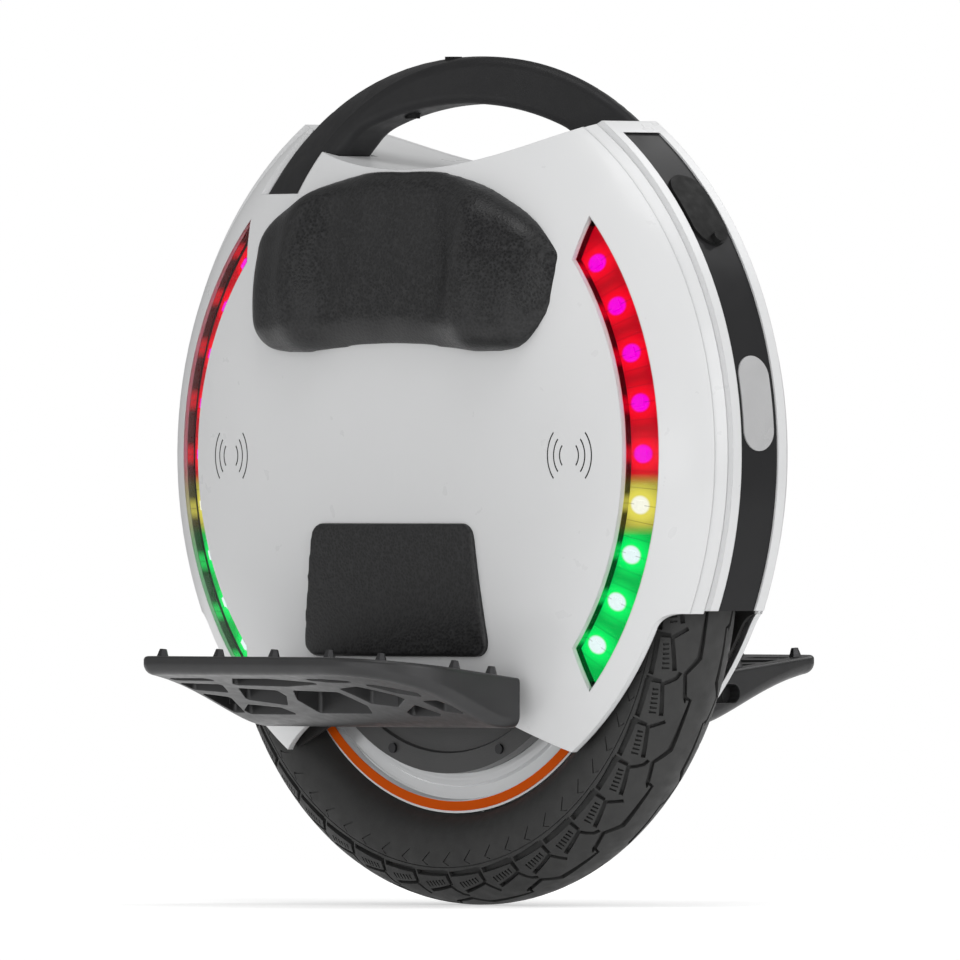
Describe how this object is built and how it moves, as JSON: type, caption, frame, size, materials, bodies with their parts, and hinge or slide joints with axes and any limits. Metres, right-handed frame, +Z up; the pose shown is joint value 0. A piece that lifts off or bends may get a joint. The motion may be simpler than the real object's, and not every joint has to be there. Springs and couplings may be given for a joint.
{
  "type": "electric unicycle",
  "caption": "One-wheeled self-balancing electric vehicle with a domed shell, hub-motor wheel, leg pads, light windows, carry handle and folding pedals.",
  "frame": {"origin": "on the ground under the middle of the axle", "axes": "+X to the front, +Y along the axle to the rider's left, +Z up"},
  "size_m": [0.412, 0.321, 0.4458],
  "materials": {
    "white_shell": "semi-gloss white moulded plastic",
    "gloss_strip": "polished black plastic",
    "handle_plastic": "fine-grained black plastic",
    "arch_plastic": "dark moulded plastic",
    "pad_leather": "grained dark synthetic leather over foam",
    "lamp_lens": "frosted pale lens",
    "light_lens": "smoked clear window",
    "light_tray": "dark reflector tray",
    "light_chip": "light-emitting chips",
    "board": "green circuit board",
    "tyre_rubber": "matte black tyre rubber",
    "rim_silver": "turned silver alloy",
    "stripe_orange": "orange stripe with a pale edge line",
    "motor_black": "black coated alloy",
    "pedal_alloy": "satin black cast alloy",
    "steel": "bright steel",
    "dark_steel": "dark steel",
    "battery_wrap": "shrink-wrapped cells",
    "rubber_black": "soft black rubber",
    "copper": "laminated core with copper windings",
    "alloy": "plain alloy"
  },
  "bodies": {
    "chassis": {"front_band": "white_shell", "rear_band": "white_shell", "front_strip": "gloss_strip", "rear_strip": "gloss_strip", "deck": "white_shell", "handle": "handle_plastic", "wheel_arch": "arch_plastic", "headlight_lens": "lamp_lens", "tail_light_lens": "lamp_lens", "headlight_board": "board", "tail_light_board": "board", "stator": "copper", "axle": "steel", "axle_nuts": "dark_steel", "charge_socket": "rubber_black", "heat_sink": "alloy", "control_board": "board", "right_side_cover": "white_shell", "right_upper_pad": "pad_leather", "right_lower_pad": "pad_leather", "right_hanger": "pedal_alloy", "right_hinge_pin": "steel", "right_battery": "battery_wrap", "right_speakers": "arch_plastic", "right_front_light_lens": "light_lens", "right_front_light_tray": "light_tray", "right_front_lights": "light_chip", "right_rear_light_lens": "light_lens", "right_rear_light_tray": "light_tray", "right_rear_lights": "light_chip", "left_side_cover": "white_shell", "left_upper_pad": "pad_leather", "left_lower_pad": "pad_leather", "left_hanger": "pedal_alloy", "left_hinge_pin": "steel", "left_battery": "battery_wrap", "left_speakers": "arch_plastic", "left_front_light_lens": "light_lens", "left_front_light_tray": "light_tray", "left_front_lights": "light_chip", "left_rear_light_lens": "light_lens", "left_rear_light_tray": "light_tray", "left_rear_lights": "light_chip"},
    "wheel": {"tyre": "tyre_rubber", "rim": "rim_silver", "rim_stripes": "stripe_orange", "valve_stem": "rubber_black", "right_motor_cover": "motor_black", "left_motor_cover": "motor_black", "motor_screws": "dark_steel", "magnets": "dark_steel", "right_bearing": "steel", "left_bearing": "steel"},
    "right_pedal_body": {"right_pedal": "pedal_alloy", "right_pedal_studs": "dark_steel"},
    "left_pedal_body": {"left_pedal": "pedal_alloy", "left_pedal_studs": "dark_steel"},
    "power_button_body": {"power_button": "rubber_black"},
    "lift_button_body": {"lift_button": "rubber_black"},
    "charge_cap_body": {"charge_cap": "rubber_black"}
  },
  "joints": [
    {"name": "wheel_spin", "type": "hinge", "parent": "chassis", "child": "wheel", "pos_m": [0, 0, 0.1778], "axis": [0, 1, 0], "continuous": true},
    {"name": "right_pedal_fold", "type": "hinge", "parent": "chassis", "child": "right_pedal_body", "pos_m": [0, -0.08, 0.111], "axis": [-1, 0, 0], "range_deg": [0, 75]},
    {"name": "left_pedal_fold", "type": "hinge", "parent": "chassis", "child": "left_pedal_body", "pos_m": [0, 0.08, 0.111], "axis": [1, 0, 0], "range_deg": [0, 75]},
    {"name": "power_button_press", "type": "slide", "parent": "chassis", "child": "power_button_body", "axis": [0, 0, -1], "range_m": [0, 0.001], "stiffness_N_per_m": 400},
    {"name": "lift_button_press", "type": "slide", "parent": "chassis", "child": "lift_button_body", "axis": [0, 0, 1], "range_m": [0, 0.001], "stiffness_N_per_m": 400},
    {"name": "charge_cap_hinge", "type": "hinge", "parent": "chassis", "child": "charge_cap_body", "pos_m": [0.14676, 0, 0.38243], "axis": [0, -1, 0], "range_deg": [0, 110]}
  ]
}
